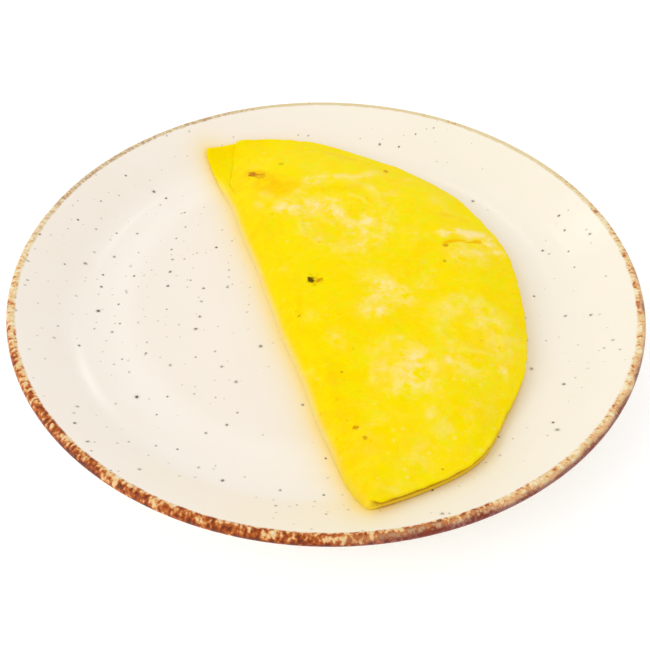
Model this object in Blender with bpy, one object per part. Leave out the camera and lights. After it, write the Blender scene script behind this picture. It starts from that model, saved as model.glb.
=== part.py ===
"""A folded omelette on its coupe plate.

Metres, +Z up. The plate's foot stands on z = 0 and its axis is the Z axis. The omelette is a
round of cooked egg folded once: its fold runs along the left of the plate, leaning towards -X at
the far end, and its open curved edge faces +X. It lies on the glaze and bends up with it at both
tips.
"""

import math

import bmesh
import bpy
import numpy as np

# Plate
PLATE_RADIUS = 0.130
PLATE_HEIGHT = 0.024
WELL_HEIGHT = 0.008  # glaze of the flat well, above the table
WALL = 0.0044  # thickness of the turned-up wall
LIP = 0.0021  # radius of the rounded lip
SLOPE = math.radians(33)  # steepness of the wall
TURN = 0.038  # radius of the turn from the well to the wall
FOOT_RADIUS = 0.081
FOOT_WIDTH = 0.005
FOOT_DRAFT = 0.0015  # how far each side of the foot leans
RECESS = 0.0018  # depth of the hollow inside the foot
PLATE_SIDES = 92
TURN_STEPS = 6
LIP_STEPS = 7

# Omelette, in its own frame: s along the fold to the far tip, h from the fold to the open edge
FOLD_LEAN = math.radians(20.0)  # turn of the fold away from +Y, towards -X
FOLD_MIDDLE = (-0.0254, -0.0130)  # x and y of the fold's middle
HALF_LENGTH = 0.1145  # half of the folded round, along the fold
DEPTH = 0.1096  # from the fold to the open edge
SKEW = 0.106  # how much fuller the far half is
EDGE_WAVES = ((3, 0.0019, 0.2), (4, 0.0006, 2.7), (6, 0.0009, -2.9), (8, 0.0005, 2.6))
FOLD_WAVES = ((1, 0.0016), (2, -0.0009), (3, 0.0006), (8, 0.0006), (9, -0.0003))
TIP_ROUND = 0.0035  # reach of the rounding at the tips
MIDDLE = 0.050  # h of the point that the rings shrink to
NOSE = 0.0084  # height of the rounded fold
TIP_NOSE = 0.0062  # the same at the tips
TIP_TAPER = (0.065, 0.112)  # distances along the fold between which it gets lower
NOSE_ROUND = 0.0036  # reach of the rounding at the fold
FLAP = 0.0026  # thickness of each flap at the open edge
FLAP_ROUND = 0.0015  # reach of the rounding at a flap's end
SLIT = 0.0006  # gap between the flaps at the open edge
SLIT_DEPTH = 0.008
OPENING = (0.004, 0.014)  # h over which the fold turns into two flaps
CROWN = 0.0100  # thickness in the middle, both layers
CROWN_REACH = 0.030  # distance over which the edge rises to the crown
SWELL = 0.0007  # height of the slow unevenness of the top
SWELL_WAVES = ((58, 71), (97, -64))  # its waves along s and h, in radians per metre
CORNER_CUT = ((0.076, 0.0020), (0.112, 0.0158))  # line where the upper flap's far corner ends
CUT_SOFTNESS = 0.002
FAR_TONGUE_STARTS = (0.055, 0.075)  # s over which the lower flap may start to stick out there
FAR_TONGUE_ENDS = (0.030, 0.040)  # and the h over which it stops
TONGUE_OPENS = (0.0015, 0.007)  # lengths of tongue over which it is a flap of its own
NEAR_TONGUE = 0.0013  # how far the lower flap sticks out along the near part of the open edge
NEAR_TONGUE_S = (0.070, 0.095)  # distances of it from the middle, along the fold
NEAR_TONGUE_H = (0.006, 0.024)
LEAST_SLANT = 0.55  # a spoke that meets the edge more aslant counts as this slant
REST_GAP = 0.0004  # clearance between the omelette and the glaze
OUTLINE_POINTS = 88
TIP_FOCUS = (1.6, 0.014)  # how much closer the points are at the tips, and over what distance
FINE = 4000  # points of the outline before it is spaced
TOP_RINGS = (0.22, 0.44, 0.63, 0.79, 0.91)
UNDER_RINGS = (0.93, 0.80, 0.62, 0.42, 0.20)
END_TURN = tuple(  # angles down the upper half of the nose, and down the upper flap's round end
    (math.radians(nose), math.radians(flap)) for nose, flap in ((90, 90), (60, 40), (32, -5), (8, -50))
)


def clear_scene():
    for old in list(bpy.data.objects):
        bpy.data.objects.remove(old, do_unlink=True)


def finish(name, color, roughness, **more):
    """A Principled material of one colour."""
    material = bpy.data.materials.new(name)
    material.use_nodes = True
    shader = material.node_tree.nodes["Principled BSDF"]
    shader.inputs["Base Color"].default_value = (*color, 1)
    shader.inputs["Roughness"].default_value = roughness
    shader.inputs["Metallic"].default_value = 0
    for socket, value in more.items():
        shader.inputs[socket.replace("_", " ")].default_value = value
    return material


def smooth_step(x, low, high):
    t = np.clip((np.asarray(x, float) - low) / (high - low), 0, 1)
    return t * t * (3 - 2 * t)


def lip_middle():
    """Centre (r, z) of the lip's round."""
    return PLATE_RADIUS - LIP, PLATE_HEIGHT - LIP


def well_radius():
    """Where the flat well ends, so that turn, straight wall and lip are tangent."""
    r, z = lip_middle()
    wall_top = r - LIP * math.sin(SLOPE), z + LIP * math.cos(SLOPE)
    turn_rise = WELL_HEIGHT + TURN * (1 - math.cos(SLOPE)) - wall_top[1]
    return wall_top[0] - TURN * math.sin(SLOPE) + turn_rise / math.tan(SLOPE)


def glaze_height(r):
    """Height of the glaze at distance r from the axis, inside the lip."""
    along = np.clip(np.asarray(r, float) - well_radius(), 0, None)
    on_turn = np.minimum(along, TURN * math.sin(SLOPE))
    straight = along - on_turn
    turned = TURN - np.sqrt(TURN**2 - on_turn**2)
    return WELL_HEIGHT + turned + straight * math.tan(SLOPE)


def plate_profile():
    """(r, z) from the well's centre over the lip and back under to the axis."""
    well = well_radius()
    lip_r, lip_z = lip_middle()
    points = [(0, WELL_HEIGHT)]
    for i in range(TURN_STEPS + 1):
        a = SLOPE * i / TURN_STEPS
        points.append((well + TURN * math.sin(a), WELL_HEIGHT + TURN * (1 - math.cos(a))))
    for i in range(LIP_STEPS + 1):
        a = math.pi / 2 + SLOPE - math.pi * i / LIP_STEPS
        points.append((lip_r + LIP * math.cos(a), lip_z + LIP * math.sin(a)))
    outer = TURN + WALL
    for i in range(TURN_STEPS + 1):
        a = SLOPE * (1 - i / TURN_STEPS)
        points.append((well + outer * math.sin(a), WELL_HEIGHT + TURN - outer * math.cos(a)))
    foot_in = FOOT_RADIUS - FOOT_WIDTH
    points += [
        (FOOT_RADIUS + FOOT_DRAFT, WELL_HEIGHT - WALL),
        (FOOT_RADIUS, 0),
        (foot_in, 0),
        (foot_in - FOOT_DRAFT, RECESS),
        (0, RECESS),
    ]
    return points


def make_plate(material):
    bm = bmesh.new()
    verts = [bm.verts.new((r, 0, z)) for r, z in plate_profile()]
    edges = [bm.edges.new(pair) for pair in zip(verts, verts[1:])]
    bmesh.ops.spin(
        bm,
        geom=verts + edges,
        axis=(0, 0, 1),
        cent=(0, 0, 0),
        steps=PLATE_SIDES,
        angle=2 * math.pi,
        use_merge=True,
    )
    bmesh.ops.remove_doubles(bm, verts=bm.verts, dist=1e-6)
    return solid("plate", bm, material)


def solid(name, bm, material):
    """Makes the object of a closed bmesh, with its faces outwards."""
    bmesh.ops.recalc_face_normals(bm, faces=bm.faces)
    mesh = bpy.data.meshes.new(name)
    bm.to_mesh(mesh)
    bm.free()
    mesh.materials.append(material)
    mesh.shade_smooth()
    mesh.set_sharp_from_angle(angle=math.radians(45))
    made = bpy.data.objects.new(name, mesh)
    bpy.context.scene.collection.objects.link(made)
    return made


def outline():
    """(s, h) round the half-moon: the open edge from the far tip to the near tip, a wavy half of
    an ellipse, then the fold back to the far tip. Both tips are rounded."""
    t = np.linspace(0, math.pi, FINE)
    wave = sum(reach * np.cos(cycles * t + phase) for cycles, reach, phase in EDGE_WAVES)
    edge_s = (HALF_LENGTH + wave) * np.cos(t)
    edge_h = (DEPTH + wave) * np.sin(t) * (1 + SKEW * np.cos(t))
    back = np.linspace(0, 1, FINE)[1:-1]
    fold_s = edge_s[-1] + (edge_s[0] - edge_s[-1]) * back
    fold_h = sum(reach * np.sin(math.pi * cycles * back) for cycles, reach in FOLD_WAVES)
    line = np.stack([np.append(edge_s, fold_s), np.append(edge_h, fold_h)], axis=1)
    line = spaced(line, FINE, 0)
    perimeter = np.linalg.norm(line - np.roll(line, 1, axis=0), axis=1).sum()
    cycles = np.fft.fftfreq(FINE, d=perimeter / FINE)
    soften = np.exp(-2 * (math.pi * cycles * TIP_ROUND) ** 2)
    whole = np.fft.ifft(np.fft.fft(line[:, 0] + 1j * line[:, 1]) * soften)
    return spaced(np.stack([whole.real, whole.imag], axis=1), OUTLINE_POINTS, TIP_FOCUS[0])


def spaced(line, count, focus):
    """A closed line's points again, at equal steps along it, or closer together at the tips."""
    closed = np.vstack([line, line[:1]])
    steps = np.linalg.norm(np.diff(closed, axis=0), axis=1)
    middle = (closed[1:] + closed[:-1]) / 2
    for tip in (HALF_LENGTH, -HALF_LENGTH):
        off = np.hypot(middle[:, 0] - tip, middle[:, 1])
        steps = steps * (1 + focus * np.exp(-((off / TIP_FOCUS[1]) ** 2)))
    run = np.append(0, np.cumsum(steps))
    wanted = np.arange(count) * run[-1] / count
    return np.stack([np.interp(wanted, run, closed[:, k]) for k in (0, 1)], axis=1)


def on_plate(s, h):
    """x and y of a place in the omelette's frame."""
    x = FOLD_MIDDLE[0] - s * math.sin(FOLD_LEAN) + h * math.cos(FOLD_LEAN)
    y = FOLD_MIDDLE[1] + s * math.cos(FOLD_LEAN) + h * math.sin(FOLD_LEAN)
    return x, y


def tongue(line, spoke, reach):
    """How far the lower flap reaches past the upper one along each spoke: at the far tip, where
    the upper flap ends at a straight line across its corner, and a little at the near end."""
    (s0, h0), (s1, h1) = CORNER_CUT
    cross = spoke[:, 0] * (h1 - h0) - spoke[:, 1] * (s1 - s0)
    to_cut = (s0 * (h1 - h0) - (h0 - MIDDLE) * (s1 - s0)) / np.maximum(cross, (s1 - s0) / 10)
    past = reach - to_cut
    s, h = line[:, 0], line[:, 1]
    far = smooth_step(s, *FAR_TONGUE_STARTS) * (1 - smooth_step(h, *FAR_TONGUE_ENDS))
    near = smooth_step(-s, *NEAR_TONGUE_S) * smooth_step(h, *NEAR_TONGUE_H)
    return far * (past + np.sqrt(past**2 + CUT_SOFTNESS**2)) / 2 + NEAR_TONGUE * near


def crown(place, edge, rim):
    """Thickness of the omelette at places inside the rim of its top, an edge of that height."""
    s, h = place[:, 0], place[:, 1]
    inwards = np.linalg.norm(place[:, None] - rim[None], axis=2).min(axis=1)
    rise = 1 - (1 - np.clip(inwards / CROWN_REACH, 0, 1)) ** 2
    (a, b), (c, d) = SWELL_WAVES
    swell = np.sin(a * s + 1) * np.cos(b * h) + 0.6 * np.sin(c * s + d * h)
    return edge + (CROWN - edge) * rise + SWELL * swell * rise


def rings():
    """The omelette's surface as rings of points, from the top's middle to the underside's."""
    line = outline()
    spoke = line - (0, MIDDLE)
    reach = np.linalg.norm(spoke, axis=1)
    spoke /= reach[:, None]
    along = np.roll(line, -1, axis=0) - np.roll(line, 1, axis=0)
    along /= np.linalg.norm(along, axis=1)[:, None]
    slant = np.abs(spoke[:, 0] * along[:, 1] - spoke[:, 1] * along[:, 0])
    stretch = 1 / np.clip(slant, LEAST_SLANT, 1)  # insets grow where a spoke meets the edge aslant
    ledge = tongue(line, spoke, reach)
    open_ = np.maximum(smooth_step(line[:, 1], *OPENING), smooth_step(ledge, *TONGUE_OPENS))
    nose = NOSE + (TIP_NOSE - NOSE) * smooth_step(np.abs(line[:, 0]), *TIP_TAPER)
    edge = nose + (2 * FLAP + SLIT - nose) * open_

    def ring(inset, height):
        place = line - spoke * inset[:, None]
        x, y = on_plate(place[:, 0], place[:, 1])
        return np.stack([x, y, glaze_height(np.hypot(x, y)) + REST_GAP + height], axis=1)

    def blend(folded, opened):
        return folded + (opened - folded) * open_

    made = []
    upper = ledge + stretch * blend(NOSE_ROUND, FLAP_ROUND)
    rim = line - spoke * upper[:, None]
    for share in TOP_RINGS:
        inset = upper + (reach - upper) * (1 - share)
        made.append(ring(inset, crown(line - spoke * inset[:, None], edge, rim)))
    for a, b in END_TURN:  # the upper flap's end, or the upper half of the fold's nose
        inset = blend(NOSE_ROUND * (1 - math.cos(a)), FLAP_ROUND * (1 - math.cos(b)))
        height = blend(nose / 2 * (1 + math.sin(a)), SLIT + FLAP * (1.5 + math.sin(b) / 2))
        made.append(ring(ledge + stretch * inset, height))
    made.append(ring(ledge + stretch * blend(0, SLIT_DEPTH), edge / 2))
    for k, (a, b) in enumerate(reversed(END_TURN)):  # the lower flap's end, or the nose's lower half
        inset = blend(NOSE_ROUND * (1 - math.cos(a)), FLAP_ROUND * (1 - math.cos(b)))
        height = blend(nose / 2 * (1 - math.sin(a)), FLAP * (0.5 - math.sin(b) / 2))
        if k == 0:  # the lower flap starts under the upper one's end
            made.append(ring(ledge + stretch * inset, height))
        made.append(ring(stretch * inset, height))
    lower = stretch * blend(NOSE_ROUND, FLAP_ROUND)
    for share in UNDER_RINGS:
        inset = lower + (reach - lower) * (1 - share)
        made.append(ring(inset, np.zeros(len(line))))
    x, y = on_plate(0, MIDDLE)
    floor = float(glaze_height(math.hypot(x, y))) + REST_GAP
    top = float(crown(np.array([[0, MIDDLE]]), NOSE, rim)[0])
    return made, (x, y, floor + top), (x, y, floor)


def make_omelette(material):
    bm = bmesh.new()
    loops, top, bottom = rings()
    circles = [[bm.verts.new(point) for point in loop] for loop in loops]
    for inner, outer in zip(circles, circles[1:]):
        for i in range(len(inner)):
            bm.faces.new((inner[i], inner[i - 1], outer[i - 1], outer[i]))
    for circle, pole in ((circles[0], top), (circles[-1], bottom)):
        point = bm.verts.new(pole)
        for i in range(len(circle)):
            bm.faces.new((circle[i], circle[i - 1], point))
    return solid("omelette", bm, material)


clear_scene()
make_plate(finish("speckled_glaze", (0.90, 0.83, 0.74), 0.16, Coat_Weight=0.5))
make_omelette(finish("cooked_egg", (0.96, 0.76, 0.02), 0.42))
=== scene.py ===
# Folded omelette on its coupe plate: the finished surfaces and looks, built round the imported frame.
# Lengths in the dictionaries are millimetres and angles degrees; the meshes are written in metres.
import math

import bpy
import numpy as np
from mathutils import Matrix, Vector


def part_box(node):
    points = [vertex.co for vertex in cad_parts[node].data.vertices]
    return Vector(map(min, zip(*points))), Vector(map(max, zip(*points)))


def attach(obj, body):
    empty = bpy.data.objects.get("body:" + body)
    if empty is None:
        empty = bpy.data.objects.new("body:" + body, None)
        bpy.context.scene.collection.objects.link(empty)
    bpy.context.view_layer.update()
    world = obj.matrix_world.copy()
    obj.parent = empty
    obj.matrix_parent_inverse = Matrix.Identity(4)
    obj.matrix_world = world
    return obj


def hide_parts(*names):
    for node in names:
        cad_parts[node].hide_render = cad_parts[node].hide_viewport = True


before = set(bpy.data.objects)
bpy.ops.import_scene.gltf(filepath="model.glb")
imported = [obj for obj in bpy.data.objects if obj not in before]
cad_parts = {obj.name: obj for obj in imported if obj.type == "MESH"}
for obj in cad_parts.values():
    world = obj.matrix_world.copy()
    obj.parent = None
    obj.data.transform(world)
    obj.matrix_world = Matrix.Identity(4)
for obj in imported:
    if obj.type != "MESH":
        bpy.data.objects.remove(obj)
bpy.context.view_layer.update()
plateLow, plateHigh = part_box("plate")
print("frame loaded:", ", ".join(sorted(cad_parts)))


def smoothStep(x, low, high):
    # 0 below low, 1 above high, and the curve 3t^2 - 2t^3 between them
    t = np.clip((np.asarray(x, float) - low) / (high - low), 0, 1)
    return t * t * (3 - 2 * t)


def waves(x, y, cell, seed):
    # Gradient noise from about -0.7 to 0.7: each corner of a square net has a random slope, and the
    # four slopes round a place are joined by the curve 6t^5 - 15t^4 + 10t^3.
    angle = np.random.RandomState(seed).uniform(0, 2 * np.pi, (64, 64))
    column = np.floor(x / cell).astype(int)
    row = np.floor(y / cell).astype(int)
    u = x / cell - column
    v = y / cell - row

    def corner(right, up):
        slope = angle[(column + right) % 64, (row + up) % 64]
        return np.cos(slope) * (u - right) + np.sin(slope) * (v - up)

    easeU = u ** 3 * (u * (6 * u - 15) + 10)
    easeV = v ** 3 * (v * (6 * v - 15) + 10)
    low = corner(0, 0) + (corner(1, 0) - corner(0, 0)) * easeU
    high = corner(0, 1) + (corner(1, 1) - corner(0, 1)) * easeU
    return low + (high - low) * easeV


def noiseSum(x, y, sizes):
    # Several sizes of gradient noise together; each has its cell, height and seed
    return sum(height * waves(x, y, cell, seed) for cell, height, seed in sizes)


def bell(distance, width):
    # 1 at distance 0, falling off as exp(-(distance / width)^2)
    return np.exp(-((distance / width) ** 2))


def distanceTo(s, h, points):
    # Distance from every place to a line of a few points: the least over its straight pieces.
    best = np.full(np.shape(s), 1e9)
    for (s0, h0), (s1, h1) in zip(points, points[1:]):
        alongS, alongH = s1 - s0, h1 - h0
        t = ((s - s0) * alongS + (h - h0) * alongH) / (alongS ** 2 + alongH ** 2)
        t = np.clip(t, 0, 1)
        best = np.minimum(best, np.hypot(s - s0 - t * alongS, h - h0 - t * alongH))
    return best


def placed(name, data):
    # A new object in the scene
    made = bpy.data.objects.new(name, data)
    bpy.context.scene.collection.objects.link(made)
    return made


def closedSurface(name, rings, startPole, endPole, finish, fields):
    # A closed skin: rings is an array (ring, place round it, xyz). Quads join each ring to the next,
    # and a fan of triangles closes each end on its pole. fields are numbers kept at every point.
    ringCount, roundCount = rings.shape[:2]
    points = np.concatenate([rings.reshape(-1, 3), [startPole, endPole]]) / 1000
    here = np.arange(ringCount * roundCount).reshape(ringCount, roundCount)
    nextTo = np.roll(here, -1, axis=1)
    quads = np.stack([here[:-1], here[1:], nextTo[1:], nextTo[:-1]], axis=2).reshape(-1)
    first = np.full(roundCount, ringCount * roundCount)
    startFan = np.stack([first, here[0], nextTo[0]], axis=1).reshape(-1)
    endFan = np.stack([first + 1, nextTo[-1], here[-1]], axis=1).reshape(-1)
    corners = np.concatenate([quads, startFan, endFan])
    starts = np.concatenate([
        np.arange(0, len(quads), 4),
        len(quads) + np.arange(0, len(startFan) + len(endFan), 3),
    ])
    mesh = bpy.data.meshes.new(name)
    mesh.vertices.add(len(points))
    mesh.vertices.foreach_set("co", points.astype(np.float32).ravel())
    mesh.loops.add(len(corners))
    mesh.loops.foreach_set("vertex_index", corners.astype(np.int32))
    mesh.polygons.add(len(starts))
    mesh.polygons.foreach_set("loop_start", starts.astype(np.int32))
    mesh.update(calc_edges=True)
    mesh.shade_smooth()
    for field, values in fields.items():
        atPoles = [values[0].mean(), values[-1].mean()]
        kept = mesh.attributes.new(field, "FLOAT", "POINT")
        kept.data.foreach_set("value", np.concatenate([values.ravel(), atPoles]).astype(np.float32))
    mesh.materials.append(finish)
    print(name, ":", len(quads) // 2 + 2 * roundCount, "triangles")
    return placed(name, mesh)


class Field:
    # A socket whose value changes over a surface; sums and products of it add Math nodes.
    def __init__(self, skin, socket):
        self.skin = skin
        self.socket = socket

    def math(self, operation, *values):
        return self.skin.node("Math", {"operation": operation}, dict(enumerate(values)))

    def __add__(self, other):
        return self.math("ADD", self, other)

    def __radd__(self, other):
        return self.math("ADD", other, self)

    def __sub__(self, other):
        return self.math("SUBTRACT", self, other)

    def __rsub__(self, other):
        return self.math("SUBTRACT", other, self)

    def __mul__(self, other):
        return self.math("MULTIPLY", self, other)

    def __rmul__(self, other):
        return self.math("MULTIPLY", other, self)

    def __truediv__(self, other):
        return self.math("DIVIDE", self, other)

    def __pow__(self, other):
        return self.math("POWER", self, other)

    def most(self, other):
        return self.math("MAXIMUM", self, other)

    def least(self, other):
        return self.math("MINIMUM", self, other)

    def step(self, low, high):
        # 0 at low and 1 at high, smooth between them; low may be the larger
        inputs = {"Value": self, "From Min": low, "From Max": high, "To Min": 0.0, "To Max": 1.0}
        return self.skin.node("MapRange", {"interpolation_type": "SMOOTHSTEP"}, inputs)


class Skin:
    # One material: its Principled shader's own values, and the nodes that feed it.
    def __init__(self, name, values):
        self.material = bpy.data.materials.new(name)
        self.material.use_nodes = True
        self.tree = self.material.node_tree
        self.shader = self.tree.nodes["Principled BSDF"]
        for socket, value in values.items():
            self.shader.inputs[socket].default_value = value

    def node(self, kind, settings, inputs, output=0):
        made = self.tree.nodes.new("ShaderNode" + kind)
        stops = settings.get("stops")
        for name, value in settings.items():
            if name != "stops":
                setattr(made, name, value)
        if stops:
            ramp = made.color_ramp
            while len(ramp.elements) < len(stops):
                ramp.elements.new(0.5)
            for element, (position, color) in zip(ramp.elements, stops):
                element.position = position
                element.color = color
        for name, value in inputs.items():
            if isinstance(value, Field):
                self.tree.links.new(value.socket, made.inputs[name])
            else:
                made.inputs[name].default_value = value
        return Field(self, made.outputs[output])

    def feed(self, socket, value):
        self.tree.links.new(value.socket, self.shader.inputs[socket])

    def stored(self, name):
        return self.node("Attribute", {"attribute_name": name}, {}, "Fac")

    def places(self):
        # Object coordinates in millimetres
        raw = self.node("TexCoord", {}, {}, "Object")
        return self.node("VectorMath", {"operation": "SCALE"}, {0: raw, "Scale": 1000.0})

    def split(self, vector):
        made = self.node("SeparateXYZ", {}, {0: vector})
        return [Field(self, output) for output in made.socket.node.outputs]

    def noise(self, vector, size, detail=2.0, roughness=0.5, warp=0.0):
        # Noise round 0.5 whose lumps are about size across
        inputs = {"Vector": vector, "Scale": 1.0 / size, "Detail": detail, "Roughness": roughness,
                  "Distortion": warp}
        return self.node("TexNoise", {}, inputs)

    def mix(self, share, low, high):
        settings = {"data_type": "RGBA", "clamp_factor": True}
        inputs = {0: share, 6: low, 7: high}
        return self.node("Mix", settings, inputs, 2)


def tint(red, green, blue):
    # A colour given as screen levels 0 to 255, as the shader's linear values
    levels = np.array([red, green, blue]) / 255
    linear = np.where(levels <= 0.04045, levels / 12.92, ((levels + 0.055) / 1.055) ** 2.4)
    return (*linear.tolist(), 1.0)


plate = {
    "radius": (plateHigh.x - plateLow.x) * 500,
    "height": plateHigh.z * 1000,
    "wellHeight": 8.0,  # glaze of the flat well, above the table
    "wall": 4.4,  # thickness of the turned-up wall
    "lip": 2.1,  # radius of the rounded lip
    "slope": 33.0,  # steepness of the wall
    "turn": 38.0,  # radius of the turn from the well to the wall
    "footRadius": 81.0,
    "footWidth": 5.0,
    "footDraft": 1.5,
    "footRound": 0.9,
    "recess": 1.8,  # depth of the hollow inside the foot
    "spokes": 400,
    "wobble": ((2, 0.16, 0.4), (3, 0.10, 2.1), (5, 0.05, 1.0)),  # the uneven rim: lobes, reach, start
    "wobbleOut": 0.6,  # shares of it outwards and upwards
    "wobbleUp": 0.5,
    "glazeLumps": ((46.0, 0.10, 3), (17.0, 0.03, 4)),  # cell, height and seed
    "glazedFrom": (3.0, 6.0),  # heights over which those lumps come in, above the foot
    "eggBounceGlowInside": -3.0,  # no painted yellow glow of light bounced off the egg further out across the rim than this
    # points along each part of the profile
    "steps": {"flat": 34, "turn": 20, "wall": 9, "lip": 26, "outside": 16, "corner": 5, "hollow": 14},
}


def wellRadius():
    # where the flat well ends, so that turn, straight wall and lip are tangent
    slope = math.radians(plate["slope"])
    wallTopR = plate["radius"] - plate["lip"] - plate["lip"] * math.sin(slope)
    wallTopZ = plate["height"] - plate["lip"] + plate["lip"] * math.cos(slope)
    turnRise = plate["wellHeight"] + plate["turn"] * (1 - math.cos(slope)) - wallTopZ
    return wallTopR - plate["turn"] * math.sin(slope) + turnRise / math.tan(slope)


def glazeHeight(x, y):
    # Height of the glaze inside the lip: the well, then a circle's arc, then a straight slope, with
    # low lumps of glaze on all of it.
    slope = math.radians(plate["slope"])
    out = np.clip(np.hypot(x, y) - wellRadius(), 0, None)
    onTurn = np.minimum(out, plate["turn"] * math.sin(slope))
    turned = plate["turn"] - np.sqrt(plate["turn"] ** 2 - onTurn ** 2)
    return plate["wellHeight"] + turned + (out - onTurn) * math.tan(slope) + glazeLumps(x, y)


def glazeLumps(x, y):
    return noiseSum(x, y, plate["glazeLumps"])


def roundedCorners(corners, reach, steps):
    # A line through the corners with each inner one rounded: (1-t)^2 A + 2t(1-t) B + t^2 C, where B is
    # the corner and A and C lie on its two sides, reach away from it.
    corners = np.array(corners, float)
    t = np.linspace(0, 1, steps)[:, None]
    parts = [corners[:1]]
    for before, corner, after in zip(corners, corners[1:], corners[2:]):
        start = corner + (before - corner) * reach / np.linalg.norm(before - corner)
        end = corner + (after - corner) * reach / np.linalg.norm(after - corner)
        parts.append((1 - t) ** 2 * start + 2 * t * (1 - t) * corner + t ** 2 * end)
    parts.append(corners[-1:])
    return np.concatenate(parts)


def plateProfile():
    # (r, z) from near the well's middle to its edge, up the turn and the wall, round the lip, down the
    # outside and over the foot to near the middle of its hollow
    slope = math.radians(plate["slope"])
    well = wellRadius()
    lipR = plate["radius"] - plate["lip"]
    lipZ = plate["height"] - plate["lip"]
    top = plate["wellHeight"]

    def arc(r, z, radius, start, end, count):
        angle = np.radians(np.linspace(start, end, count))
        return np.stack([r + radius * np.cos(angle), z + radius * np.sin(angle)], axis=1)

    def level(start, end, z, count):
        return np.stack([np.linspace(start, end, count), np.full(count, z)], axis=1)

    steps = plate["steps"]
    flat = level(1.5, well, top, steps["flat"])
    turn = arc(well, top + plate["turn"], plate["turn"], -90, -90 + plate["slope"], steps["turn"])[1:]
    lip = arc(lipR, lipZ, plate["lip"], 90 + plate["slope"], plate["slope"] - 90, steps["lip"])
    outer = plate["turn"] + plate["wall"]
    outside = arc(well, top + plate["turn"], outer, -90 + plate["slope"], -90, steps["outside"])
    base = top - plate["wall"]
    footIn = plate["footRadius"] - plate["footWidth"]
    foot = roundedCorners([
        (well - 1, base),
        (plate["footRadius"] + plate["footDraft"], base),
        (plate["footRadius"], 0),
        (footIn, 0),
        (footIn - plate["footDraft"], plate["recess"]),
        (footIn - 5, plate["recess"]),
    ], plate["footRound"], steps["corner"])
    hollow = level(footIn - 8, 2, plate["recess"], steps["hollow"])
    share = np.linspace(0, 1, steps["wall"])[1:-1, None]
    wall = turn[-1] + (lip[0] - turn[-1]) * share
    wallOut = lip[-1] + (outside[0] - lip[-1]) * share
    return np.concatenate([flat, turn, wall, lip, wallOut, outside, foot, hollow])


def plateSurface():
    # The profile turned round the axis. The rim's radius and height waver by a few cosines of the
    # angle, growing with the distance from the axis, and the glaze has its lumps down to the base.
    profile = plateProfile()
    angle = np.arange(plate["spokes"]) * 2 * np.pi / plate["spokes"]
    r, z = profile[:, :1], profile[:, 1:]
    waver = sum(reach * np.cos(lobes * angle + start) for lobes, reach, start in plate["wobble"])
    share = smoothStep(r, wellRadius(), plate["radius"])
    radius = r + waver * share * plate["wobbleOut"]
    x, y = radius * np.cos(angle), radius * np.sin(angle)
    glazed = smoothStep(z, *plate["glazedFrom"])
    height = z + waver * share * plate["wobbleUp"] + glazeLumps(x, y) * glazed
    run = np.append(0, np.cumsum(np.linalg.norm(np.diff(profile, axis=0), axis=1)))
    across = run - run[np.argmax(profile[:, 1])]  # along the profile from the top of the lip, outwards
    return np.stack([x, y, height], axis=2), np.repeat(across[:, None], plate["spokes"], axis=1)


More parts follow.
